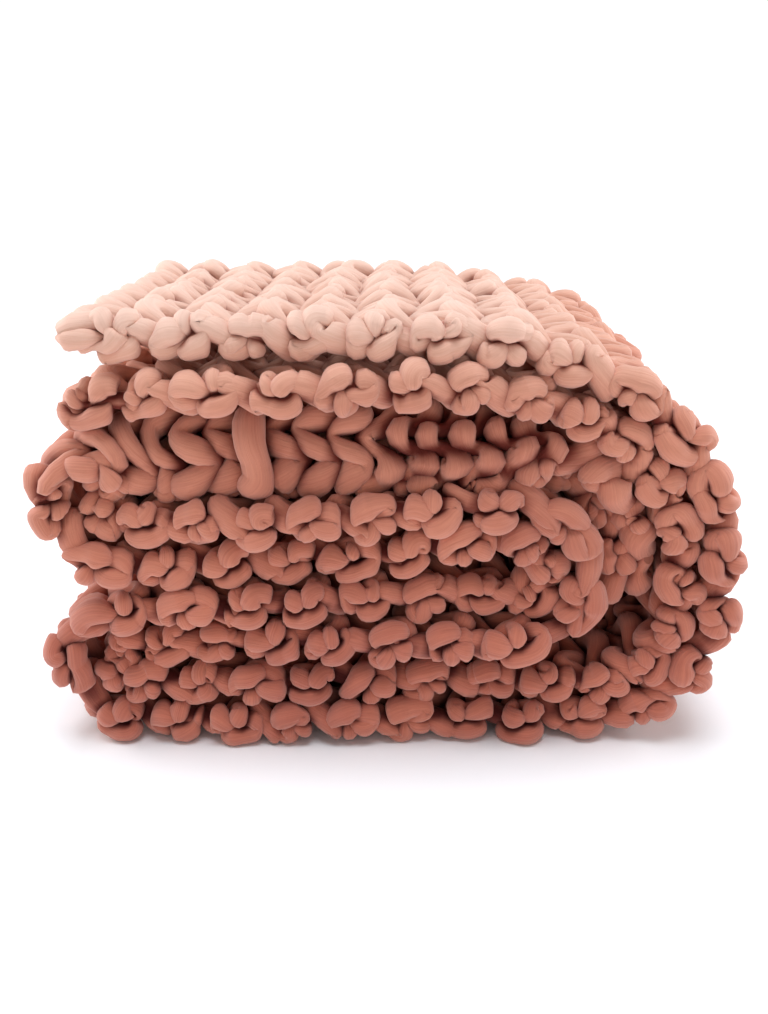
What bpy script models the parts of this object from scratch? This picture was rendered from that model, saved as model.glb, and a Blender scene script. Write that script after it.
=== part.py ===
"""Chunky knit throw, folded in half along its length and then back and forth into a stack.

The throw is one piece of garter stitch, so it is one closed solid. It is laid out flat
first, with its ridges, and every point is then carried into the folded stack: the
layers lie in pairs, joined by the fold at the back, and both knitted edges meet at the
front. X runs along the stack's width, Y from the front to the back, Z up from the
surface that it rests on. The origin is under the middle of the stack. Metres.
"""
import math
from collections import namedtuple

import bmesh
import bpy
import numpy as np

# Driving sizes
STACK_DEPTH = 0.400      # front edges to the back fold
LAYER = 0.0285           # one layer of knitting, over its ridges
LAYER_SLIT = 0.003       # least slit between the two layers of a pair
RIDGE_PITCH = 0.044      # from one garter ridge to the next, along the throw
GROOVE = 0.006           # depth of the grooves between the ridges
LEAST_HALF = 0.3         # a groove leaves at least this share of the layer on its side
ROUND_EDGE = 0.010       # how far in the knitted edges are rounded
EDGE_SHARE = 0.42        # share of the thickness left at the very edge
END_ROUND = 0.008        # how far in the throw's two ends are rounded
END_SHARE = 0.45         # share of the thickness left at the very end
EDGE_BUMP = 0.005        # a ridge stands out this far at the front edges
FLAP_ROUND = 0.017       # radius over which the hanging edge turns down
SETTLED = 0.0090         # what comes this near to the surface lies flat on it
STACK_HEIGHT = 0.332     # the unevenness fades out from here down to the surface

# Unevenness: how far, and how many radians of wave to a metre
EDGE_WANDER = 0.004      # the front edges wander in and out
WANDER_A = 19.0
WANDER_B = 16.0
WANDER_BACK = 11.0
SAG = 0.004              # the layers rise and fall
SAG_ACROSS = 9.0
SAG_DEEP = 7.0
SIDE_PUSH = 0.003        # the sides lean in and out
PUSH_DEEP = 11.0
PUSH_UP = 5.0

# How finely the cloth is divided
ROWS_PER_RIDGE = 4
FOLD_COLUMNS = 4
FLAP_COLUMNS = 3
INNER_COLUMNS = 1
FLAP_ZONE = 0.030        # the flap's columns take up at least this much of the edge

YARN_COLOUR = (0.62, 0.29, 0.20, 1.0)

# The way of the doubled cloth through the stack, from its end on top to its end inside.
# Each row is a stretch of even curvature about a centre (radius 0 is a single place),
# with its heading in and out in degrees, 0 to the right and 90 upwards. The cloth runs
# freely from one row to the next. thickness is that of both layers with the slit
# between them. edge_a and edge_b say how far the front edges of the left-hand and the
# right-hand layer stand back, and flap is the length of edge that hangs down in front.
Bend = namedtuple("Bend", "place x z radius heading_in heading_out thickness edge_a edge_b flap")
BENDS = (
    Bend("end on top", -0.222, 0.2985, 0.0, -1, -1, 0.068, 0.012, 0.006, 0.0),
    Bend("top, left", -0.070, 0.2980, 0.0, 0, 0, 0.063, 0.014, 0.003, 0.0),
    Bend("top, crest", 0.045, 0.2995, 0.0, -2, -2, 0.062, 0.014, 0.004, 0.0),
    Bend("right shoulder", 0.082, 0.1380, 0.152, -15, -85, 0.059, 0.006, 0.010, 0.0),
    Bend("right heel", 0.1540, 0.1115, 0.0800, -90, -180, 0.057, 0.006, 0.010, 0.0),
    Bend("bottom left turn", -0.195, 0.0640, 0.0325, -180, -360, 0.062, 0.004, 0.012, 0.0),
    Bend("third run", 0.000, 0.1025, 0.0, -360, -360, 0.063, 0.010, 0.004, 0.0),
    Bend("roll", 0.096, 0.1420, 0.0385, -360, -180, 0.057, 0.012, 0.002, 0.0),
    Bend("fourth run", -0.020, 0.1700, 0.0, -176, -176, 0.063, 0.012, 0.002, 0.0),
    Bend("upper left turn", -0.193, 0.1985, 0.0340, -180, -360, 0.062, 0.006, 0.012, 0.0),
    Bend("inner, left", -0.140, 0.2320, 0.0, -360, -360, 0.058, 0.022, 0.054, 0.030),
    Bend("inner, crest", 0.030, 0.2365, 0.0, -360, -360, 0.051, 0.022, 0.054, 0.030),
    Bend("inner droop", 0.0875, 0.1385, 0.0955, -360, -450, 0.0355, 0.014, 0.030, 0.004),
    Bend("end inside", 0.183, 0.1220, 0.0, -450, -450, 0.0330, 0.012, 0.020, 0.0),
)
SAMPLES = 60             # fine steps of the way in each stretch


def heading_vector(degrees):
    angle = math.radians(degrees)
    return np.array((math.cos(angle), math.sin(angle)))


def left_of(degrees):
    return heading_vector(degrees + 90.0)


def bend_point(bend, degrees):
    """Place on a bend where the cloth heads this way."""
    side = 1.0 if bend.heading_out < bend.heading_in else -1.0
    return np.array((bend.x, bend.z)) + side * bend.radius * left_of(degrees)


def free_run(start, start_heading, end, end_heading, steps):
    """Smooth run between two bends, with each step's place and heading."""
    pull = np.linalg.norm(end - start)
    m0 = pull * heading_vector(start_heading)
    m1 = pull * heading_vector(end_heading)
    places, slopes = [], []
    for t in np.linspace(0.0, 1.0, steps, endpoint=False)[1:]:
        places.append((2 * t**3 - 3 * t**2 + 1) * start + (t**3 - 2 * t**2 + t) * m0
                      + (3 * t**2 - 2 * t**3) * end + (t**3 - t**2) * m1)
        slopes.append((6 * t**2 - 6 * t) * (start - end) + (3 * t**2 - 4 * t + 1) * m0
                      + (3 * t**2 - 2 * t) * m1)
    return places, slopes


class Way:
    """The doubled cloth's middle line in the X-Z plane, measured along its length."""

    def __init__(self, bends):
        places, headings, middles = [], [], []
        for index, bend in enumerate(bends):
            steps = SAMPLES if bend.radius else 1
            first = len(places)
            for degrees in np.linspace(bend.heading_in, bend.heading_out, steps):
                places.append(bend_point(bend, degrees))
                headings.append(math.radians(degrees))
            middles.append((first + len(places) - 1) // 2)
            if index + 1 < len(bends):
                after = bends[index + 1]
                run, slopes = free_run(places[-1], bend.heading_out,
                                       bend_point(after, after.heading_in),
                                       after.heading_in, SAMPLES)
                for place, slope in zip(run, slopes):
                    turn = math.atan2(slope[1], slope[0]) - headings[-1]
                    turn = (turn + math.pi) % (2 * math.pi) - math.pi
                    places.append(place)
                    headings.append(headings[-1] + turn)
        self.places = np.array(places)
        self.headings = np.array(headings)
        steps = np.linalg.norm(np.diff(self.places, axis=0), axis=1)
        self.lengths = np.concatenate(([0.0], np.cumsum(steps)))
        self.length = self.lengths[-1]
        self.middles = self.lengths[middles]
        self.bends = bends

    def at(self, s):
        """Place and left-hand direction at length s."""
        x = np.interp(s, self.lengths, self.places[:, 0])
        z = np.interp(s, self.lengths, self.places[:, 1])
        angle = np.interp(s, self.lengths, self.headings)
        return x, z, -math.sin(angle), math.cos(angle)

    def value(self, s, column):
        """A column of the table at length s, eased from row to row."""
        column_values = [getattr(bend, column) for bend in self.bends]
        row = int(np.clip(np.searchsorted(self.middles, s) - 1, 0, len(self.bends) - 2))
        t = (s - self.middles[row]) / (self.middles[row + 1] - self.middles[row])
        t = min(max(t, 0.0), 1.0)
        ease = t * t * (3.0 - 2.0 * t)
        return column_values[row] + ease * (column_values[row + 1] - column_values[row])


class Section:
    """The doubled cloth cut across at one place, from the edge of layer a to that of b."""

    def __init__(self, way, s):
        thickness = way.value(s, "thickness")
        self.layer = min(LAYER, 0.5 * (thickness - LAYER_SLIT))
        self.lift = 0.5 * (thickness - self.layer)
        self.flap = way.value(s, "flap")
        self.turn = FLAP_ROUND * min(1.0, self.flap / FLAP_ROUND)
        bump = EDGE_BUMP * math.cos(2.0 * math.pi * s / RIDGE_PITCH)
        wander_a = EDGE_WANDER * math.sin(WANDER_A * s)
        wander_b = EDGE_WANDER * math.cos(WANDER_B * s)
        self.front_a = max(0.0, way.value(s, "edge_a") + EDGE_BUMP - bump + wander_a)
        self.front_b = max(0.0, way.value(s, "edge_b") + EDGE_BUMP + bump + wander_b)
        wander_back = 0.5 * EDGE_WANDER * (1.0 - math.sin(WANDER_BACK * s))
        self.back = STACK_DEPTH - self.lift - 0.5 * self.layer - wander_back
        arc = 0.5 * math.pi * self.turn
        self.parts = (self.flap, arc, self.back - self.front_a - self.turn,
                      math.pi * self.lift, self.back - self.front_b)
        self.ends = np.cumsum(self.parts)

    def columns(self):
        """Lengths across the cloth at which it is divided."""
        flap_end, fold_start, fold_end, far = self.ends[1], self.ends[2], self.ends[3], self.ends[4]
        near = max(flap_end, FLAP_ZONE)
        columns = [0.0]
        columns += list(np.linspace(ROUND_EDGE, near, FLAP_COLUMNS))
        columns += list(np.linspace(near, fold_start, INNER_COLUMNS + 2))[1:]
        columns += list(np.linspace(fold_start, fold_end, FOLD_COLUMNS + 1))[1:]
        columns += list(np.linspace(fold_end, far - ROUND_EDGE, INNER_COLUMNS + 1))[1:]
        return columns + [far]

    def at(self, c):
        """Depth y and offset n of length c, and the cloth's outward direction there."""
        flap_end, arc_end, fold_start, fold_end, _ = self.ends
        if c < flap_end:
            return self.front_a, self.lift - self.turn - (flap_end - c), -1.0, 0.0
        if c < arc_end:
            angle = (c - flap_end) / self.turn
            return (self.front_a + self.turn * (1.0 - math.cos(angle)),
                    self.lift - self.turn * (1.0 - math.sin(angle)),
                    -math.cos(angle), math.sin(angle))
        if c < fold_start:
            return self.front_a + self.turn + c - arc_end, self.lift, 0.0, 1.0
        if c < fold_end:
            angle = (c - fold_start) / self.lift
            return (self.back + self.lift * math.sin(angle), self.lift * math.cos(angle),
                    math.sin(angle), math.cos(angle))
        return self.back - (c - fold_end), -self.lift, 0.0, -1.0

    def half_thickness(self, c):
        """Half of the layer's thickness, rounded off towards the edges."""
        inward = min(c, self.ends[4] - c) / ROUND_EDGE
        rounding = math.sqrt(max(0.0, 1.0 - (1.0 - min(inward, 1.0)) ** 2))
        return 0.5 * self.layer * (EDGE_SHARE + (1.0 - EDGE_SHARE) * rounding)


def row_lengths(way):
    """Lengths along the throw at which it is divided: on the ridges, in the grooves, between."""
    step = RIDGE_PITCH / ROWS_PER_RIDGE
    count = int((way.length - 0.5 * step) / step)
    return [k * step for k in range(count + 1)] + [way.length]


def end_rounding(way, s):
    """Share of the thickness that is left near the throw's two ends."""
    inward = min(s, way.length - s) / END_ROUND
    return END_SHARE + (1.0 - END_SHARE) * min(inward, 1.0)


def uneven(point):
    """The stack's own unevenness, which grows from nothing at the surface."""
    x, y, z = point
    rise = z / STACK_HEIGHT
    z += SAG * rise * (math.cos(SAG_ACROSS * x) * math.cos(SAG_DEEP * y) - 0.5)
    x += SIDE_PUSH * rise * math.sin(PUSH_DEEP * y + PUSH_UP * z)
    return x, y, z


def folded(way, section, s, c, face):
    """Carry a point of the flat cloth, on its front or back face, into the stack."""
    y, n, out_y, out_n = section.at(c)
    on_ridge = 0.5 + 0.5 * face * math.cos(2.0 * math.pi * s / RIDGE_PITCH)
    half = section.half_thickness(c) * end_rounding(way, s)
    depth = GROOVE * (section.layer / LAYER) * (1.0 - on_ridge)
    out = face * max(half - depth, LEAST_HALF * section.layer)
    y += out * out_y
    n += out * out_n
    x, z, left_x, left_z = way.at(s)
    point = uneven((x + n * left_x, y - 0.5 * STACK_DEPTH, z + n * left_z))
    if point[2] < SETTLED:
        point = (point[0], point[1], 0.0)
    return point


def centre_over_origin(cloth):
    """Shift the stack so that the origin is under its middle."""
    low = [min(vert.co[axis] for vert in cloth.verts) for axis in range(2)]
    high = [max(vert.co[axis] for vert in cloth.verts) for axis in range(2)]
    middle = [0.5 * (low[axis] + high[axis]) for axis in range(2)]
    bmesh.ops.translate(cloth, verts=cloth.verts, vec=(-middle[0], -middle[1], 0.0))


def knit_throw(way, material, collection):
    """Lay the cloth out flat with its two faces, then carry each point into the stack."""
    rows = row_lengths(way)
    sections = [Section(way, s) for s in rows]
    columns = [section.columns() for section in sections]
    across = len(columns[0])

    cloth = bmesh.new()
    bmesh.ops.create_grid(cloth, x_segments=len(rows) - 1, y_segments=across - 1, size=0.5)
    result = bmesh.ops.extrude_face_region(cloth, geom=cloth.faces[:], use_keep_orig=True)
    upper = {item for item in result["geom"] if isinstance(item, bmesh.types.BMVert)}
    for vert in cloth.verts:
        row = round((vert.co.x + 0.5) * (len(rows) - 1))
        column = round((vert.co.y + 0.5) * (across - 1))
        face = 1.0 if vert in upper else -1.0
        vert.co = folded(way, sections[row], rows[row], columns[row][column], face)
    bmesh.ops.recalc_face_normals(cloth, faces=cloth.faces)
    centre_over_origin(cloth)

    mesh = bpy.data.meshes.new("knit_throw")
    cloth.to_mesh(mesh)
    cloth.free()
    mesh.shade_smooth()
    mesh.materials.append(material)
    throw = bpy.data.objects.new("knit_throw", mesh)
    collection.objects.link(throw)
    return throw


def yarn_material():
    """Soft, matt wool."""
    material = bpy.data.materials.new("yarn")
    material.use_nodes = True
    shader = material.node_tree.nodes["Principled BSDF"]
    shader.inputs["Base Color"].default_value = YARN_COLOUR
    shader.inputs["Roughness"].default_value = 0.9
    shader.inputs["Metallic"].default_value = 0.0
    return material


def main():
    for old in list(bpy.data.objects):
        bpy.data.objects.remove(old)
    collection = bpy.data.collections.new("folded_knit_throw")
    bpy.context.scene.collection.children.link(collection)
    way = Way(BENDS)
    knit_throw(way, yarn_material(), collection)


main()
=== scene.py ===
# Chunky garter-stitch throw, folded into a stack
import math

import bmesh
import bpy
import numpy as np
from mathutils.kdtree import KDTree
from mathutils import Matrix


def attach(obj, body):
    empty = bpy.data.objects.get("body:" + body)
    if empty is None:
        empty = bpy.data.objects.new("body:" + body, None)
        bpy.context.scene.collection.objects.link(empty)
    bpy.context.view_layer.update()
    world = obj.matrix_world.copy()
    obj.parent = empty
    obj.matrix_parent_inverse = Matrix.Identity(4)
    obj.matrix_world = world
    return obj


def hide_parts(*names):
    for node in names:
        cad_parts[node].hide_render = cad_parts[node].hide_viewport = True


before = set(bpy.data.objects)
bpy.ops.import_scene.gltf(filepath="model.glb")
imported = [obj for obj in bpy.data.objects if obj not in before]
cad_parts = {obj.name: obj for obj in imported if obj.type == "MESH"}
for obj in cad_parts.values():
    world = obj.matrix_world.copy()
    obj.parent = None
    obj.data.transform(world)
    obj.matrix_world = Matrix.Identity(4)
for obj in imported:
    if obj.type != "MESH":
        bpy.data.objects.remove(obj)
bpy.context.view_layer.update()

print("frame loaded")

# The stack: how the cloth is laid, the same sizes as its solid has
stack = {
    "depth": 0.400,        # front edges to the back fold
    "layer": 0.0285,       # one layer of knitting
    "slit": 0.003,         # between the two layers of a pair
    "flapRound": 0.017,    # radius over which the hanging edge turns down
    "height": 0.332,
    "edgeWander": 0.004,
    "wanderA": 19.0, "wanderB": 16.0, "wanderBack": 11.0,
    "sag": 0.004, "sagAcross": 9.0, "sagDeep": 7.0,
    "sidePush": 0.003, "pushDeep": 11.0, "pushUp": 5.0,
    "shift": (-0.00234, 0.00306),   # puts the origin under the middle
    # the lower layer's end on the left hangs a little
    "endDroop": 0.010, "endDroopOver": 0.075, "endDroopDeep": 0.25,
    # the fold's raised roll along the top's back, with a groove in front of it
    "rimRise": 0.0035, "rimWide": 0.024, "rimGroove": 0.004, "grooveAt": 0.034, "rimEnd": 0.10,
    # the right shoulder's back is fuller, away from a middle, round an angle in degrees
    "full": 0.017, "fullFrom": (0.06, 0.11), "fullAngle": 43.0, "fullWide": 42.0,
    "fullOver": (0.06, 0.20), "fullDeep": (-0.06, 0.16),
    "samples": 60,         # places in a bend or a run
}

# Way of the doubled cloth: a bend per row, with its centre, radius and headings in degrees,
# then the pair's thickness, how far the two front edges stand back, and the hanging edge
bendColumns = ("x", "z", "radius", "headingIn", "headingOut",
               "thickness", "edgeA", "edgeB", "flap")
bends = (
    (-0.222, 0.2985, 0.0, -1, -1, 0.068, 0.012, 0.006, 0.0),          # end on top
    (-0.070, 0.2980, 0.0, 0, 0, 0.063, 0.014, 0.003, 0.0),            # top, left
    (0.045, 0.2995, 0.0, -2, -2, 0.062, 0.014, 0.004, 0.0),           # top, crest
    (0.082, 0.1380, 0.152, -15, -85, 0.059, 0.006, 0.010, 0.0),       # right shoulder
    (0.1540, 0.1115, 0.0800, -90, -180, 0.057, 0.006, 0.010, 0.0),    # right heel
    (-0.195, 0.0640, 0.0325, -180, -360, 0.062, 0.004, 0.012, 0.0),   # bottom left turn
    (0.000, 0.1025, 0.0, -360, -360, 0.063, 0.010, 0.004, 0.0),       # third run
    (0.096, 0.1420, 0.0385, -360, -180, 0.057, 0.012, 0.002, 0.0),    # roll
    (-0.020, 0.1700, 0.0, -176, -176, 0.063, 0.012, 0.002, 0.0),      # fourth run
    (-0.193, 0.1985, 0.0340, -180, -360, 0.062, 0.006, 0.012, 0.0),   # upper left turn
    (-0.140, 0.2320, 0.0, -360, -360, 0.058, 0.022, 0.054, 0.030),    # inner, left
    (0.030, 0.2365, 0.0, -360, -360, 0.051, 0.022, 0.054, 0.030),     # inner, crest
    (0.0875, 0.1385, 0.0955, -360, -450, 0.0355, 0.014, 0.030, 0.004),  # inner droop
    (0.183, 0.1220, 0.0, -450, -450, 0.0330, 0.012, 0.020, 0.0),      # end inside
)


def ramp(t):
    t = np.clip(t, 0.0, 1.0)
    return t * t * (3.0 - 2.0 * t)


def headingVector(degrees):
    angle = math.radians(degrees)
    return np.array((math.cos(angle), math.sin(angle)))


def bendPoint(bend, degrees):
    side = 1.0 if bend["headingOut"] < bend["headingIn"] else -1.0
    return np.array((bend["x"], bend["z"])) + side * bend["radius"] * headingVector(degrees + 90.0)


def freeRun(start, startHeading, end, endHeading, steps):
    # smooth run between two bends
    pull = np.linalg.norm(end - start)
    m0 = pull * headingVector(startHeading)
    m1 = pull * headingVector(endHeading)
    t = np.linspace(0.0, 1.0, steps, endpoint=False)[1:, None]
    places = ((2 * t**3 - 3 * t**2 + 1) * start + (t**3 - 2 * t**2 + t) * m0
              + (3 * t**2 - 2 * t**3) * end + (t**3 - t**2) * m1)
    slopes = ((6 * t**2 - 6 * t) * (start - end) + (3 * t**2 - 4 * t + 1) * m0
              + (3 * t**2 - 2 * t) * m1)
    return places, np.arctan2(slopes[:, 1], slopes[:, 0])


def layWay(table):
    # middle line of the doubled cloth, its headings, and the length at each bend's middle
    places, headings, middles, count = [], [], [], 0
    for index, bend in enumerate(table):
        steps = stack["samples"] if bend["radius"] else 1
        angles = np.linspace(bend["headingIn"], bend["headingOut"], steps)
        places.append(np.array([bendPoint(bend, a) for a in angles]))
        headings.append(np.radians(angles))
        middles.append(count + (steps - 1) // 2)
        count += steps
        if index + 1 < len(table):
            after = table[index + 1]
            run, angles = freeRun(places[-1][-1], bend["headingOut"],
                                  bendPoint(after, after["headingIn"]), after["headingIn"],
                                  stack["samples"])
            places.append(run)
            headings.append(angles)
            count += len(run)
    places = np.concatenate(places)
    headings = np.unwrap(np.concatenate(headings))
    lengths = np.concatenate(([0.0], np.cumsum(np.linalg.norm(np.diff(places, axis=0), axis=1))))
    return {"places": places, "headings": headings,
            "lengths": lengths, "middles": lengths[middles]}


bendTable = [dict(zip(bendColumns, row)) for row in bends]
way = layWay(bendTable)
wayLength = way["lengths"][-1]


def columnAt(s, column):
    # a column of the bend table at lengths s, eased from row to row
    values = np.array([bend[column] for bend in bendTable])
    row = np.clip(np.searchsorted(way["middles"], s) - 1, 0, len(values) - 2)
    t = (s - way["middles"][row]) / (way["middles"][row + 1] - way["middles"][row])
    t = np.clip(t, 0.0, 1.0)
    return values[row] + t * t * (3.0 - 2.0 * t) * (values[row + 1] - values[row])


def foldCloth(flat, clothWidth):
    # carries points of the flat cloth into the stack: s along, c across, w out of its face;
    # n is the height over the pair's middle
    s, c, w = flat[:, 0], flat[:, 1], flat[:, 2]
    sIn = np.clip(s, 0.0, wayLength)
    thickness = columnAt(sIn, "thickness")
    layer = np.minimum(stack["layer"], 0.5 * (thickness - stack["slit"]))
    lift = 0.5 * (thickness - layer)
    flap = columnAt(sIn, "flap")
    turn = np.minimum(stack["flapRound"], flap)
    frontA = columnAt(sIn, "edgeA") + stack["edgeWander"] * np.sin(stack["wanderA"] * sIn)
    frontB = columnAt(sIn, "edgeB") + stack["edgeWander"] * np.cos(stack["wanderB"] * sIn)
    frontA = np.maximum(frontA, 0.0) + knot["edgeIn"]
    frontB = np.maximum(frontB, 0.0) + knot["edgeIn"]
    wanderBack = 0.5 * stack["edgeWander"] * (1.0 - np.sin(stack["wanderBack"] * sIn))
    back = stack["depth"] - lift - 0.5 * layer - wanderBack

    flapEnd = flap
    arcEnd = flapEnd + 0.5 * math.pi * turn
    foldStart = arcEnd + back - frontA - turn
    foldEnd = foldStart + math.pi * lift
    total = foldEnd + back - frontB
    inside = np.clip(c, 0.0, clothWidth)
    beyond = c - inside
    c = inside * total / clothWidth + beyond
    w = w * layer / stack["layer"]

    # the straight part of layer a, then the hanging edge, the fold and layer b
    y = frontA + turn + c - arcEnd
    n = lift.copy()
    outY = np.zeros_like(c)
    outN = np.ones_like(c)
    safeTurn = np.maximum(turn, 1e-6)
    angle = np.clip((c - flapEnd) / safeTurn, 0.0, 0.5 * math.pi)
    hasFlap = (c < arcEnd) & (flap > 1e-5)
    y = np.where(hasFlap, frontA + turn * (1.0 - np.cos(angle)), y)
    n = np.where(hasFlap, lift - turn * (1.0 - np.sin(angle)), n)
    outY = np.where(hasFlap, -np.cos(angle), outY)
    outN = np.where(hasFlap, np.sin(angle), outN)
    hanging = hasFlap & (c < flapEnd)
    n = np.where(hanging, lift - turn - (flapEnd - c), n)
    folded = c >= foldStart
    angle = np.clip((c - foldStart) / lift, 0.0, math.pi)
    y = np.where(folded, back + lift * np.sin(angle), y)
    n = np.where(folded, lift * np.cos(angle), n)
    outY = np.where(folded, np.sin(angle), outY)
    outN = np.where(folded, np.cos(angle), outN)
    under = c >= foldEnd
    y = np.where(under, back - (c - foldEnd), y)
    n = np.where(under, -lift, n)

    lower = ramp((c - foldEnd) / stack["endDroopDeep"])
    n = n - stack["endDroop"] * lower * ramp(1.0 - sIn / stack["endDroopOver"])
    onTop = ramp(1.0 - (sIn - way["middles"][3]) / stack["rimEnd"])
    rim = ramp(1.0 - np.abs(c - foldStart) / stack["rimWide"])
    groove = ramp(1.0 - np.abs(c - foldStart + stack["grooveAt"]) / stack["rimWide"])
    n = n + onTop * (stack["rimRise"] * rim - stack["rimGroove"] * groove)
    y = y + w * outY
    n = n + w * outN
    heading = np.interp(sIn, way["lengths"], way["headings"])
    ahead = s - sIn
    x = np.interp(sIn, way["lengths"], way["places"][:, 0]) + ahead * np.cos(heading)
    z = np.interp(sIn, way["lengths"], way["places"][:, 1]) + ahead * np.sin(heading)
    x = x - n * np.sin(heading)
    z = z + n * np.cos(heading)
    y = y - 0.5 * stack["depth"]

    fromX, fromZ = x - stack["fullFrom"][0], z - stack["fullFrom"][1]
    far = np.maximum(np.hypot(fromX, fromZ), 1e-6)
    away = np.degrees(np.arctan2(fromZ, fromX)) - stack["fullAngle"]
    full = stack["full"] * ramp(1.0 - np.abs(away) / stack["fullWide"])
    for place, (start, end) in ((far, stack["fullOver"]), (y, stack["fullDeep"])):
        full = full * ramp((place - start) / (end - start))
    x = x + full * fromX / far
    z = z + full * fromZ / far

    rise = z / stack["height"]
    sag = np.cos(stack["sagAcross"] * x) * np.cos(stack["sagDeep"] * y) - 0.5
    z = z + stack["sag"] * rise * sag
    x = x + stack["sidePush"] * rise * np.sin(stack["pushDeep"] * y + stack["pushUp"] * z)
    z = np.maximum(z, 0.0)
    return np.stack((x + stack["shift"][0], y + stack["shift"][1], z), axis=1)


# The yarn and its stitches
yarn = {
    "radius": 0.0123,
    "rows": 108,
    "stitches": 18,
    "width": 0.757,        # of the cloth, laid flat
    "loopHalf": 0.0150,    # half of a loop's height along the throw
    "rise": 0.0058,        # how far a loop comes out to either face
    "spread": 0.0040,      # how far the loops' heads spread
    "plump": 0.10,         # thicker where it shows, thinner where it dips under
    "tail": 5, "tailEnd": 0.3,    # points over which its two ends taper, and to what share
    "steps": 14,           # points in a stitch
    "smooth": 2,           # times that its corners are rounded
    "sides": 14,           # round the yarn
    "unevenAlong": 0.0018, "unevenAcross": 0.0020, "unevenOut": 0.0012, "unevenRadius": 0.07,
    "seed": 11,
    "pieces": 6,
    "cutAt": 0.75,         # they meet this far across the cloth, in the hidden layer
}

# The knots along both edges, where the yarn turns back and is looped through itself
knot = {
    "edgeIn": 0.0125,      # the edge's loops stay behind the cloth's edge
    "size": (0.0100, 0.0050, 0.0054),    # unit of the way below: along the edge, up and out
    "flapSize": 0.45,      # share of that on the hanging edge
    "out": -0.0015,        # how far its middle lies outside the loops
    "centre": -0.009,      # along the throw from the middle of its two rows
    "unevenPlace": (0.0018, 0.0014, 0.0012),
    "slant": 0.36, "unevenSlant": 0.20,
    "lean": 0.12,          # its face looks up or down by about this angle
    "unevenSize": 0.08,
    "unevenWay": 0.14,     # in the same unit
    "radius": 0.0098, "flapRadius": 0.0062,
    "uneven": 0.08,        # share by which its thickness varies
    "steps": 5,            # points from each row of the way to the next
    "smooth": 4,           # times that its corners are rounded
    "inside": 0.016,       # the yarn goes back to its row this far in
    "pull": 0.0036,        # it draws its two rows together
    "reach": 0.036,        # as far in as this
    "forward": 0.0135,     # and the loops beside it come to the edge
    "forwardAt": 0.021, "forwardOver": 1.3,
    "forwardRadius": -0.04,
    "firstRow": 1.4,       # the first one stands in from the end
}

# Way of the yarn through a knot: a bar across, round behind it, and a loop that dips under
# the bar; the columns are along, up, out and the radius
knotWay = (
    (-2.10, -0.35, -0.60, 0.90),
    (-1.30, -0.80, 0.00, 1.00),
    (-0.55, -1.05, 0.45, 1.10),
    (0.45, -1.05, 0.45, 1.10),
    (1.15, -0.60, -0.35, 1.00),
    (0.95, 0.30, -1.15, 0.90),
    (-0.30, 0.75, -1.40, 0.85),
    (-1.15, 0.95, -0.70, 0.95),
    (-1.00, 0.75, 0.25, 1.10),
    (-0.50, -0.05, 0.25, 1.00),
    (0.00, -0.60, -0.60, 0.80),
    (0.55, -0.05, 0.30, 1.00),
    (1.05, 0.80, 0.35, 1.12),
    (1.55, 0.95, -0.20, 1.00),
    (2.10, 0.50, -0.60, 0.90),
)

# The hanging edge: its left part shows its knit side, its right part the other one
flapFace = {
    "bend": 10,            # row of the bend table beside its left end
    "left": -0.03,         # its left end, along the throw from there
    "turnOver": 0.115, "soft": 0.03,    # where the other side comes up
    "width": 0.052, "fade": 0.02,
    "rise": 0.0062, "turnedRise": 0.0110,
    "plump": 0.22, "headPlump": 0.16, "turnedPlump": -0.06,
    # one strand runs almost straight across it, outside the others
    "wrapAt": 0.040, "wrapStraight": 0.86, "wrapOut": 0.0120, "wrapPlump": -0.10,
}

# How strands that press on each other give way
press = {
    "neighbours": 20, "looked": 80,    # nearest points that are kept, of so many
    "skip": 0.024,         # its own strand is left out this far along
    "reach": 0.034,
    "gap": 0.0002,
    "facing": 0.05, "least": 0.35,
    "sharpness": 7.0,      # of the edges where two strands meet
    "grow": 1.11,          # strands start this much thicker
    "rounds": 3, "bulge": 1.25,    # what is pressed away swells where it is free, up to this
}


def easedNoise(rng, knots, places):
    # random values at whole numbers, eased in between
    values = rng.normal(size=knots + 1)
    row = np.clip(places.astype(int), 0, knots - 1)
    t = places - row
    t = t * t * (3.0 - 2.0 * t)
    return values[row] * (1.0 - t) + values[row + 1] * t


def inFlap(s, c):
    # 1 on the hanging edge, 0 off it
    start = way["middles"][flapFace["bend"]] + flapFace["left"]
    there = ramp((s - start) / flapFace["soft"])
    return there * ramp((flapFace["width"] + flapFace["fade"] - c) / flapFace["fade"])


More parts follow.
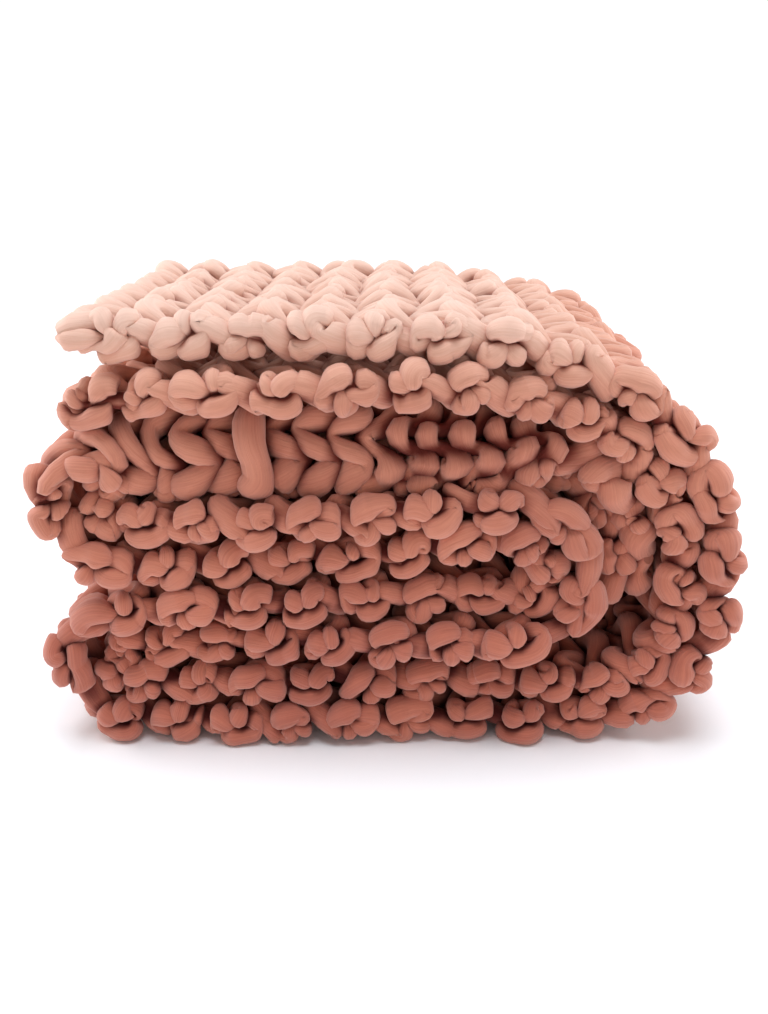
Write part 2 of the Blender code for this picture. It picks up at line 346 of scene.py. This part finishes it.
def knitRow(rng, row):
    # one row of loops from edge a to edge b; knit and purl rows take turns
    pitch = wayLength / yarn["rows"]
    stitchWidth = yarn["width"] / yarn["stitches"]
    around = 2.0 * math.pi * yarn["stitches"]
    theta = np.linspace(0.0, around, yarn["stitches"] * yarn["steps"] + 1)
    halves = theta / math.pi
    knots = 2 * yarn["stitches"]
    face = -1.0 if row % 2 == 0 else 1.0
    c = stitchWidth * theta / (2.0 * math.pi) + yarn["spread"] * np.sin(2.0 * theta)
    c += yarn["unevenAcross"] * easedNoise(rng, knots, halves)
    s = (row + 0.5) * pitch - yarn["loopHalf"] * np.cos(theta)
    s += yarn["unevenAlong"] * easedNoise(rng, knots, halves)
    w = -face * yarn["rise"] * np.cos(theta)
    flapStart = way["middles"][flapFace["bend"]]
    side = 1.0 - 2.0 * ramp((s - flapStart - flapFace["turnOver"]) / flapFace["soft"])
    hanging = inFlap(s, c)
    turned = 0.5 * (1.0 - side)
    rise = flapFace["rise"] + turned * (flapFace["turnedRise"] - flapFace["rise"])
    w += hanging * (-side * rise * np.cos(2.0 * theta) - w)
    wrap = hanging * (row == int((flapStart + flapFace["wrapAt"]) / pitch))
    s += flapFace["wrapStraight"] * wrap * ((row + 0.5) * pitch - s)
    w += wrap * (flapFace["wrapOut"] - w)
    w += yarn["unevenOut"] * easedNoise(rng, knots, halves)
    radius = 1.0 + yarn["plump"] * np.cos(4.0 * theta) * (1.0 - wrap)
    radius += flapFace["plump"] * hanging + flapFace["wrapPlump"] * wrap
    head = flapFace["headPlump"] * np.cos(2.0 * theta) + flapFace["turnedPlump"]
    radius += hanging * turned * head
    radius += yarn["unevenRadius"] * easedNoise(rng, 2 * knots, 2.0 * halves)
    return np.stack((s, c, w, radius * yarn["radius"]), axis=1)


def smoothed(points, times):
    # rounds the yarn's corners
    for _ in range(times):
        inner = 0.25 * points[:-2] + 0.5 * points[1:-1] + 0.25 * points[2:]
        points = np.concatenate((points[:1], inner, points[-1:]))
    return points


def throughPoints(rows, steps):
    # a smooth way through each row of numbers
    rows = np.concatenate((2.0 * rows[:1] - rows[1:2], rows, 2.0 * rows[-1:] - rows[-2:-1]))
    t = np.linspace(0.0, 1.0, steps, endpoint=False)[:, None]
    runs = []
    for a, b, c, d in zip(rows[:-3], rows[1:-2], rows[2:-1], rows[3:]):
        runs.append(0.5 * (2.0 * b + (c - a) * t + (2.0 * a - 5.0 * b + 4.0 * c - d) * t ** 2
                           + (3.0 * b - a - 3.0 * c + d) * t ** 3))
    return np.concatenate(runs + [rows[-2:-1]])


def edgeKnot(rng, row, before, after, outward):
    # the knot that joins the end of a row to the start of the next one
    pitch = wayLength / yarn["rows"]
    hangs = inFlap(row * pitch, before[1])
    rows = np.array(knotWay)
    rows[:, :3] += knot["unevenWay"] * rng.normal(size=(len(rows), 3))
    rows[:, 3] *= 1.0 + knot["uneven"] * rng.normal(size=len(rows))
    if rng.random() < 0.5:
        rows[:, 1] *= -1.0
    if rng.random() < 0.5:
        rows[:, 0] *= -1.0
        rows = rows[::-1]
    rows = smoothed(throughPoints(rows, knot["steps"]), knot["smooth"])
    size = np.array(knot["size"]) * (1.0 + knot["unevenSize"] * rng.normal())
    size *= 1.0 + hangs * (knot["flapSize"] - 1.0)
    slant = -outward * (knot["slant"] + knot["unevenSlant"] * rng.normal())
    along = rows[:, 0] * math.cos(slant) - rows[:, 1] * math.sin(slant)
    up = rows[:, 0] * math.sin(slant) + rows[:, 1] * math.cos(slant)
    middle = np.array((row * pitch + knot["centre"], before[1] + outward * knot["out"], 0.0))
    middle += rng.normal(size=3) * knot["unevenPlace"]
    radius = rows[:, 3] * (knot["radius"] + hangs * (knot["flapRadius"] - knot["radius"]))
    lean = knot["lean"] * rng.normal()
    out = rows[:, 2] * math.cos(lean) - up * math.sin(lean)
    up = rows[:, 2] * math.sin(lean) + up * math.cos(lean)
    places = np.stack((along * size[0], outward * out * size[2], up * size[1]), axis=1)
    strand = np.concatenate((middle + places, radius[:, None]), axis=1)
    inside = 0.5 * (strand[-1:] + after)
    inside[:, 1] = before[1] - outward * knot["inside"]
    return np.concatenate((strand, inside))


def layYarn():
    # the whole yarn in flat cloth, and the number of points up to the end of each row
    rng = np.random.default_rng(yarn["seed"])
    chain, ends, count = [], [0], 0
    for row in range(yarn["rows"]):
        points = knitRow(rng, row)
        if row % 2 == 1:
            points = points[::-1]
        outward = 1.0 if row % 2 == 1 else -1.0
        before = chain[-1][-1] if chain else points[0]
        tied = edgeKnot(rng, max(row, knot["firstRow"]), before, points[0], outward)
        points = np.concatenate((tied, points))
        chain.append(points)
        count += len(points)
        ends.append(count)
    points = smoothed(np.concatenate(chain), yarn["smooth"])
    taper = np.linspace(yarn["tailEnd"], 1.0, yarn["tail"])
    points[:yarn["tail"], 3] *= taper
    points[-yarn["tail"]:, 3] *= taper[::-1]
    return points, ends


# Slow waves through the knitting: a large one that the other direction bends, and a small one
waves = {
    "along": {"size": 0.0030, "main": 14.0, "other": 5.0, "bend": 3.0,
              "small": 0.0016, "smallMain": 31.0, "smallOther": 17.0},
    "across": {"size": 0.0030, "main": 19.0, "other": 9.0, "bend": 2.0,
               "small": 0.0015, "smallMain": 43.0, "smallOther": 11.0},
    "fade": 0.04,          # those across die out this far from the edges
}


def wave(shape, main, other):
    large = np.sin(shape["main"] * main + shape["bend"] * np.sin(shape["other"] * other))
    small = np.sin(shape["smallMain"] * main + shape["smallOther"] * other)
    return shape["size"] * large + shape["small"] * small


def shiftStitches(points):
    # so that the rows of stitches aren't ruled
    s, c = points[:, 0].copy(), points[:, 1].copy()
    points[:, 0] += wave(waves["along"], c, s)
    fade = np.clip(np.minimum(c, yarn["width"] - c) / waves["fade"], 0.0, 1.0)
    points[:, 1] += wave(waves["across"], s, c) * fade
    return points


def tieEdges(points):
    # each knot draws its pair of rows together, and the loops between come to the edge
    pitch = wayLength / yarn["rows"]
    for edge, outward, first in ((0.0, -1.0, 2.0), (yarn["width"], 1.0, 1.0)):
        inside = -outward * (points[:, 1] - edge)
        near = ramp(1.0 - np.abs(inside) / knot["reach"])
        angle = math.pi * ((points[:, 0] - knot["centre"]) / pitch - first)
        points[:, 0] -= knot["pull"] * near * np.sin(angle)
        over = knot["forwardOver"] * knot["forwardAt"]
        bridge = ramp(1.0 - np.abs(inside - knot["forwardAt"]) / over)
        bridge *= 1.0 - inFlap(points[:, 0], points[:, 1])
        points[:, 1] += outward * knot["forward"] * bridge
        points[:, 3] *= 1.0 + knot["forwardRadius"] * bridge
    return points


def findNeighbours(centres):
    # for each point of the yarn, the nearest points of the strands round it
    along = np.concatenate(([0.0], np.cumsum(np.linalg.norm(np.diff(centres, axis=0), axis=1))))
    along = along.tolist()
    tree = KDTree(len(centres))
    for index, centre in enumerate(centres):
        tree.insert(centre, index)
    tree.balance()
    found = np.full((len(centres), press["neighbours"]), -1)
    for index, centre in enumerate(centres):
        kept = 0
        for _, other, distance in tree.find_n(centre, press["looked"]):
            if distance > press["reach"] or kept == press["neighbours"]:
                break
            if abs(along[other] - along[index]) > press["skip"]:
                found[index, kept] = other
                kept += 1
    return found


def pressStrands(verts, rings, centres, radii, neighbours):
    # a strand's surface gives way at the plane that it shares with each strand beside it,
    # and swells where nothing is in its way
    own = centres[rings]
    arm = verts - own
    length = np.maximum(np.linalg.norm(arm, axis=1), 1e-7)
    direction = arm / length[:, None]
    power = press["sharpness"]
    planes = np.zeros(len(verts))
    for column in range(neighbours.shape[1]):
        other = neighbours[rings, column]
        there = other >= 0
        axis = centres[other] - own
        apart = np.maximum(np.linalg.norm(axis, axis=1), 1e-6)
        toPlane = (apart ** 2 + radii[rings] ** 2 - radii[other] ** 2) / (2.0 * apart)
        facing = (direction * axis).sum(axis=1) / apart
        toPlane = np.maximum(toPlane - press["gap"], press["least"] * radii[rings])
        met = there & (facing > press["facing"])
        reach = np.where(met, toPlane / np.maximum(facing, press["facing"]), 1.0)
        planes += reach ** -power
    free = length.copy()
    for _ in range(press["rounds"]):
        limited = (free ** -power + planes) ** (-1.0 / power)
        area = (limited ** 2).reshape(-1, yarn["sides"]).mean(axis=1)
        wanted = (length ** 2).reshape(-1, yarn["sides"]).mean(axis=1)
        free *= np.repeat(np.sqrt(wanted / area), yarn["sides"])
        free = np.minimum(free, press["bulge"] * length)
    limited = (free ** -power + planes) ** (-1.0 / power)
    return own + direction * limited[:, None], np.clip(1.0 - limited / length, 0.0, 1.0)


def softened(values, sides):
    # evens out the rings of a strand, round it and along it
    rings = values.reshape(-1, sides, values.shape[-1])
    rings = 0.25 * np.roll(rings, 1, axis=1) + 0.5 * rings + 0.25 * np.roll(rings, -1, axis=1)
    middle = 0.25 * rings[:-2] + 0.5 * rings[1:-1] + 0.25 * rings[2:]
    return np.concatenate((rings[:1], middle, rings[-1:])).reshape(values.shape)


def yarnMesh(name, first, last):
    # a round curve through the yarn's places in the stack, made a mesh, then pressed
    points = flatYarn[first:last]
    curve = bpy.data.curves.new(name, "CURVE")
    curve.dimensions = "3D"
    curve.bevel_depth = 1.0
    curve.bevel_resolution = (yarn["sides"] - 4) // 2
    curve.use_fill_caps = True
    spline = curve.splines.new("POLY")
    spline.points.add(len(points) - 1)
    places = np.concatenate((centres[first:last], np.ones((len(points), 1))), axis=1)
    spline.points.foreach_set("co", places.ravel())
    spline.points.foreach_set("radius", press["grow"] * points[:, 3])
    guide = bpy.data.objects.new(name + "_guide", curve)
    bpy.context.scene.collection.objects.link(guide)
    graph = bpy.context.evaluated_depsgraph_get()
    mesh = bpy.data.meshes.new_from_object(guide.evaluated_get(graph), depsgraph=graph)
    bpy.data.objects.remove(guide)
    bpy.data.curves.remove(curve)
    mesh.name = name

    # the curve's mesh holds its two caps first, and then a ring for each point
    sides = yarn["sides"]
    rings = np.repeat(np.arange(first, last), sides)
    flat = np.empty(len(mesh.vertices) * 3)
    mesh.vertices.foreach_get("co", flat)
    verts = flat.reshape(-1, 3)
    strand, pressed = pressStrands(verts[2 * sides:], rings, centres, flatYarn[:, 3], neighbours)
    verts[2 * sides:] = softened(softened(strand, sides), sides)
    verts[:sides] = verts[-sides:]
    verts[sides:2 * sides] = verts[2 * sides:3 * sides]
    verts[:, 2] = np.maximum(verts[:, 2], 0.0)
    mesh.vertices.foreach_set("co", verts.ravel())
    pressed = softened(pressed[:, None], sides)[:, 0]
    # how far each point is pressed in; the wool paints crease shade and lowers its sheen from this
    depth = mesh.attributes.new("pressed", "FLOAT", "POINT")
    depth.data.foreach_set("value", np.concatenate((pressed[-sides:], pressed[:sides], pressed)))

    # the map runs in metres along the yarn and once round it
    steps = np.linalg.norm(np.diff(centres[first:last], axis=0), axis=1)
    lengths = np.concatenate(([0.0], np.cumsum(steps)))
    layer = mesh.uv_layers[0].data
    uv = np.empty(len(layer) * 2)
    layer.foreach_get("uv", uv)
    uv = uv.reshape(-1, 2)
    uv[:, 0] = np.interp(uv[:, 0] * (len(points) - 1), np.arange(len(points)), lengths)
    layer.foreach_set("uv", uv.ravel())
    mesh.shade_smooth()
    piece = bpy.data.objects.new(name, mesh)
    bpy.context.scene.collection.objects.link(piece)
    return piece


# The wool: colours from the outside of a strand to the painted shade in the creases between
# strands
wool = {
    "colour": (0.505, 0.140, 0.069, 1.0),
    "pale": (0.630, 0.219, 0.122, 1.0),
    # painted shade, darkening the creases where strands press on each other, from the first to the
    # last share of pressing
    "paintedCreaseShade": (0.17, 0.020, 0.010, 1.0),
    "creaseShadeFrom": 0.11, "creaseShadeTo": 0.52,
    # painted light and shade by height, from a lower to an upper height: below 1 it is paler,
    # painted light at the top; above 1 it is darker, painted shade low down
    "low": (0.05, 0.29, 1.38, 1.0),
    "high": (0.250, 0.342, 1.0, 0.38),
    "roughness": 0.9,
    "sheen": 0.38, "sheenRoughness": 0.80, "sheenTint": (1.0, 0.84, 0.79, 1.0),
    "fibresAlong": 38.0,       # per metre of yarn
    "fibresRound": 9.0,        # per radian, near enough
    "fibreDetail": 3.0, "fibreRoughness": 0.6, "fibreDistortion": 0.4,
    "fibreBump": 0.0011, "bumpStrength": 0.6,
    "patches": 9.0,            # per metre
    "paleFrom": 0.75, "paleTo": 1.25,    # of the sum of the fibres and the patches
}


def woolMaterial():
    material = bpy.data.materials.new("wool")
    material.use_nodes = True
    nodes, links = material.node_tree.nodes, material.node_tree.links

    def node(kind, **settings):
        added = nodes.new("ShaderNode" + kind)
        for name, value in settings.items():
            setattr(added, name, value)
        return added

    def calculate(operation, first, second):
        added = node("Math", operation=operation)
        for socket, value in zip(added.inputs, (first, second)):
            if isinstance(value, float):
                socket.default_value = value
            else:
                links.new(value, socket)
        return added.outputs[0]

    def coloured(sockets):
        return [socket for socket in sockets if socket.type == "RGBA"]

    shader = nodes["Principled BSDF"]
    shader.inputs["Roughness"].default_value = wool["roughness"]
    shader.inputs["Sheen Roughness"].default_value = wool["sheenRoughness"]
    shader.inputs["Sheen Tint"].default_value = wool["sheenTint"]

    # fibres run along the yarn and close up round it without a seam
    uv = node("UVMap", uv_map="UVMap")
    parts = node("SeparateXYZ")
    links.new(uv.outputs["UV"], parts.inputs[0])
    angle = calculate("MULTIPLY", parts.outputs[1], 2.0 * math.pi)
    place = node("CombineXYZ")
    links.new(calculate("MULTIPLY", parts.outputs[0], wool["fibresAlong"]), place.inputs[0])
    for socket, operation in ((1, "COSINE"), (2, "SINE")):
        around = calculate(operation, angle, 0.0)
        links.new(calculate("MULTIPLY", around, wool["fibresRound"]), place.inputs[socket])
    fibres = node("TexNoise")
    fibres.inputs["Scale"].default_value = 1.0
    for name in ("Detail", "Roughness", "Distortion"):
        fibres.inputs[name].default_value = wool["fibre" + name]
    links.new(place.outputs[0], fibres.inputs["Vector"])
    bump = node("Bump")
    bump.inputs["Strength"].default_value = wool["bumpStrength"]
    bump.inputs["Distance"].default_value = wool["fibreBump"]
    links.new(fibres.outputs["Fac"], bump.inputs["Height"])
    links.new(bump.outputs["Normal"], shader.inputs["Normal"])

    # painted light and shade by height: darker low down, paler at the top
    where = node("TexCoord")
    height = node("SeparateXYZ")
    links.new(where.outputs["Object"], height.inputs[0])
    depths = []
    for values in (wool["low"], wool["high"]):
        depth = node("MapRange", interpolation_type="SMOOTHSTEP")
        for socket, value in zip(depth.inputs[1:5], values):
            socket.default_value = value
        links.new(height.outputs[2], depth.inputs["Value"])
        depths.append(depth.outputs["Result"])
    # paler fibres and patches, then the painted shade in the creases
    patches = node("TexNoise")
    patches.inputs["Scale"].default_value = wool["patches"]
    links.new(where.outputs["Object"], patches.inputs["Vector"])
    share = calculate("ADD", fibres.outputs["Fac"], patches.outputs["Fac"])
    paleness = node("MapRange")
    paleness.inputs["From Min"].default_value = wool["paleFrom"]
    paleness.inputs["From Max"].default_value = wool["paleTo"]
    links.new(share, paleness.inputs["Value"])
    outside = node("Mix", data_type="RGBA")
    colours = coloured(outside.inputs)
    colours[0].default_value = wool["colour"]
    colours[1].default_value = wool["pale"]
    links.new(paleness.outputs["Result"], outside.inputs["Factor"])
    pressed = node("Attribute", attribute_name="pressed")
    paintedCreaseShade = node("MapRange", interpolation_type="SMOOTHSTEP")
    paintedCreaseShade.inputs["From Min"].default_value = wool["creaseShadeFrom"]
    paintedCreaseShade.inputs["From Max"].default_value = wool["creaseShadeTo"]
    links.new(pressed.outputs["Fac"], paintedCreaseShade.inputs["Value"])
    creaseShadedColour = node("Mix", data_type="RGBA")
    colours = coloured(creaseShadedColour.inputs)
    colours[1].default_value = wool["paintedCreaseShade"]
    links.new(coloured(outside.outputs)[0], colours[0])
    links.new(paintedCreaseShade.outputs["Result"], creaseShadedColour.inputs["Factor"])
    # the painted light and shade by height bends the whole colour
    heightShadedColour = node("Gamma")
    links.new(coloured(creaseShadedColour.outputs)[0], heightShadedColour.inputs["Color"])
    links.new(calculate("MULTIPLY", depths[0], depths[1]), heightShadedColour.inputs["Gamma"])
    links.new(heightShadedColour.outputs["Color"], shader.inputs["Base Color"])
    # less sheen where crease shade is painted
    loose = calculate("SUBTRACT", 1.0, paintedCreaseShade.outputs["Result"])
    links.new(calculate("MULTIPLY", loose, wool["sheen"]), shader.inputs["Sheen Weight"])
    return material


# Camera at the photograph's angle, above and in front of the stack
view = {"place": (-0.005, -0.7965, 0.4217), "down": 20.27, "focal": 910.0, "frameHeight": 1014.0}
camera = bpy.data.objects.new("camera", bpy.data.cameras.new("camera"))
camera.location = view["place"]
camera.rotation_euler = (math.radians(90.0 - view["down"]), 0.0, 0.0)
camera.data.sensor_width = 36.0
camera.data.lens = 36.0 * view["focal"] / view["frameHeight"]
bpy.context.scene.collection.objects.link(camera)
bpy.context.scene.camera = camera
print("camera set")

material = woolMaterial()
flatYarn, rowEnds = layYarn()
flatYarn = shiftStitches(tieEdges(flatYarn))
centres = foldCloth(flatYarn[:, :3], yarn["width"])
neighbours = findNeighbours(centres)
print("yarn laid,", len(flatYarn), "points")

# The pieces share a ring where they meet
perPiece = yarn["rows"] // yarn["pieces"]
backTo = int(yarn["cutAt"] * yarn["stitches"] * yarn["steps"])
cuts = [rowEnds[index * perPiece] - backTo for index in range(1, yarn["pieces"])]
starts = [0] + [cut - 1 for cut in cuts]
for index, (first, last) in enumerate(zip(starts, cuts + [len(flatYarn)])):
    piece = yarnMesh("knitting_%d" % (index + 1), first, last)
    piece.data.materials.clear()
    piece.data.materials.append(material)
    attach(piece, "root")
    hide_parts("knit_throw")
    piece.data.calc_loop_triangles()
    print(piece.name, len(piece.data.loop_triangles), "triangles")

# Floor and soft studio light
studio = {
    "floorSize": 120.0,
    "floor": (0.94, 0.94, 0.95, 1.0), "floorRoughness": 0.9,
    "low": 1.06, "high": 0.26,      # brightness of the surroundings, low down and overhead
    "lowTo": 0.24, "highFrom": 0.42,
    "top": 2.9, "topColour": (0.88, 0.94, 1.0), "topAngle": 40.0, "topLean": -1.0,
    "left": 20.0, "right": 15.0,    # power of the lights at the sides
    "sides": 1.2, "sidePlace": (1.9, 0.3, 0.9), "target": (0.0, 0.0, 0.2),
}


def pointAt(light, target):
    direction = np.array(target) - np.array(light.location)
    light.rotation_euler = (math.atan2(math.hypot(direction[0], direction[1]), -direction[2]),
                            0.0, math.atan2(direction[0], -direction[1]) + math.pi)


def sideLight(side, direction):
    lamp = bpy.data.lights.new(side + "_light", "AREA")
    lamp.shape = "RECTANGLE"
    lamp.size = lamp.size_y = studio["sides"]
    lamp.energy = studio[side]
    light = bpy.data.objects.new(side + "_light", lamp)
    x, y, z = studio["sidePlace"]
    light.location = (direction * x, y, z)
    pointAt(light, studio["target"])
    bpy.context.scene.collection.objects.link(light)


floorMesh = bmesh.new()
bmesh.ops.create_grid(floorMesh, x_segments=1, y_segments=1, size=0.5 * studio["floorSize"])
mesh = bpy.data.meshes.new("floor")
floorMesh.to_mesh(mesh)
floorMesh.free()
floor = bpy.data.objects.new("floor", mesh)
floorMaterial = bpy.data.materials.new("pale_floor")
floorMaterial.use_nodes = True
floorShader = floorMaterial.node_tree.nodes["Principled BSDF"]
floorShader.inputs["Base Color"].default_value = studio["floor"]
floorShader.inputs["Roughness"].default_value = studio["floorRoughness"]
mesh.materials.append(floorMaterial)
bpy.context.scene.collection.objects.link(floor)

world = bpy.data.worlds.new("studio")
world.use_nodes = True
nodes, links = world.node_tree.nodes, world.node_tree.links
direction = nodes.new("ShaderNodeTexCoord")
upward = nodes.new("ShaderNodeSeparateXYZ")
links.new(direction.outputs["Generated"], upward.inputs[0])
brightness = nodes.new("ShaderNodeMapRange")
for socket, value in zip(brightness.inputs[1:5],
                         (studio["lowTo"], studio["highFrom"], studio["low"], studio["high"])):
    socket.default_value = value
links.new(upward.outputs[2], brightness.inputs["Value"])
links.new(brightness.outputs["Result"], nodes["Background"].inputs["Strength"])
nodes["Background"].inputs["Color"].default_value = (1.0, 1.0, 1.0, 1.0)
bpy.context.scene.world = world
sun = bpy.data.lights.new("top_light", "SUN")
sun.energy = studio["top"]
sun.color = studio["topColour"]
sun.angle = math.radians(studio["topAngle"])
light = bpy.data.objects.new("top_light", sun)
light.rotation_euler = (math.radians(studio["topLean"]), 0.0, 0.0)
bpy.context.scene.collection.objects.link(light)
sideLight("left", -1.0)
sideLight("right", 1.0)
bpy.context.scene.view_settings.view_transform = "Standard"
print("studio lit")
